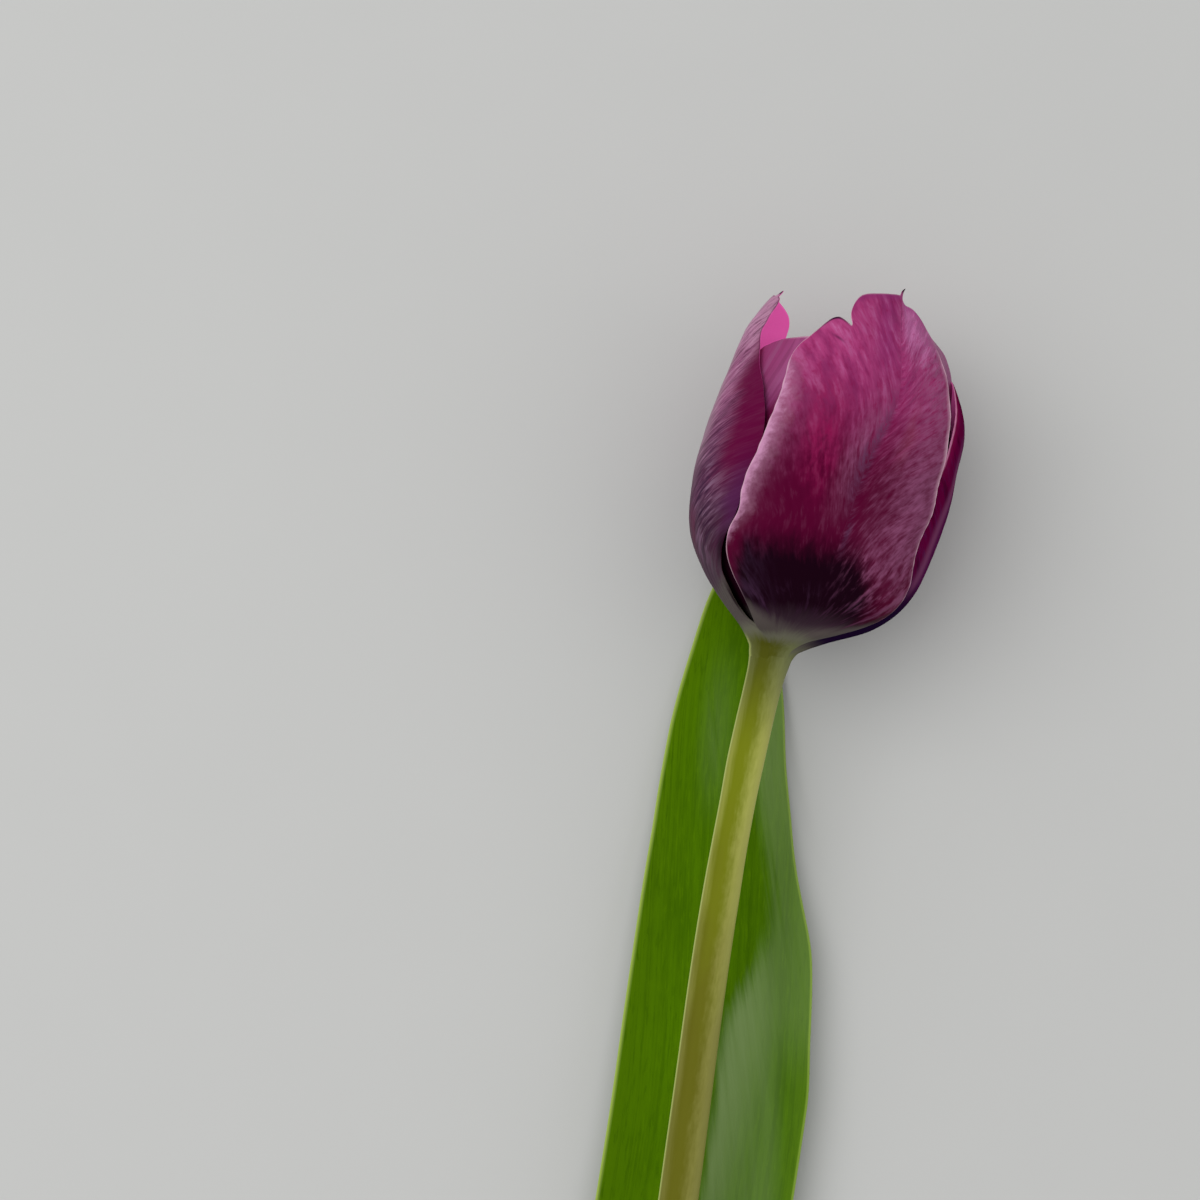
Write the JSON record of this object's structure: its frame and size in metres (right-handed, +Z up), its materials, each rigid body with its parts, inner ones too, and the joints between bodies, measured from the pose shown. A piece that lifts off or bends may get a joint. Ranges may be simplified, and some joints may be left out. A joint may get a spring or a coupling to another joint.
{
  "type": "tulip flower",
  "caption": "Cut tulip lying on its side: cupped purple bloom with pistil and stamens, on a long green stem clasped by a broad leaf.",
  "frame": {"origin": "on the surface the flower lies on, under the middle of its bounding box", "axes": "+Y along the stem from the cut end to the bloom, +Z up from the surface, +X to the right seen from above with the bloom away from the viewer"},
  "size_m": [0.0463, 0.2757, 0.0475],
  "materials": {
    "outer_petal": "satin, waxy, deep purple-crimson with paler margins",
    "inner_petal": "satin, waxy, magenta-purple",
    "stem": "satin yellow-green skin with a faint bloom",
    "leaf": "satin green with a pale waxy bloom in patches",
    "pistil": "satin pale green",
    "stamen": "matt, powdery, near black"
  },
  "bodies": {
    "root": {"stem": "stem", "leaf": "leaf", "outer_petal_front": "outer_petal", "outer_petal_left": "outer_petal", "outer_petal_right": "outer_petal", "inner_petal_left": "inner_petal", "inner_petal_right": "inner_petal", "inner_petal_back": "inner_petal", "pistil": "pistil", "stamen_1": "stamen", "stamen_2": "stamen", "stamen_3": "stamen", "stamen_4": "stamen", "stamen_5": "stamen", "stamen_6": "stamen"}
  },
  "joints": []
}
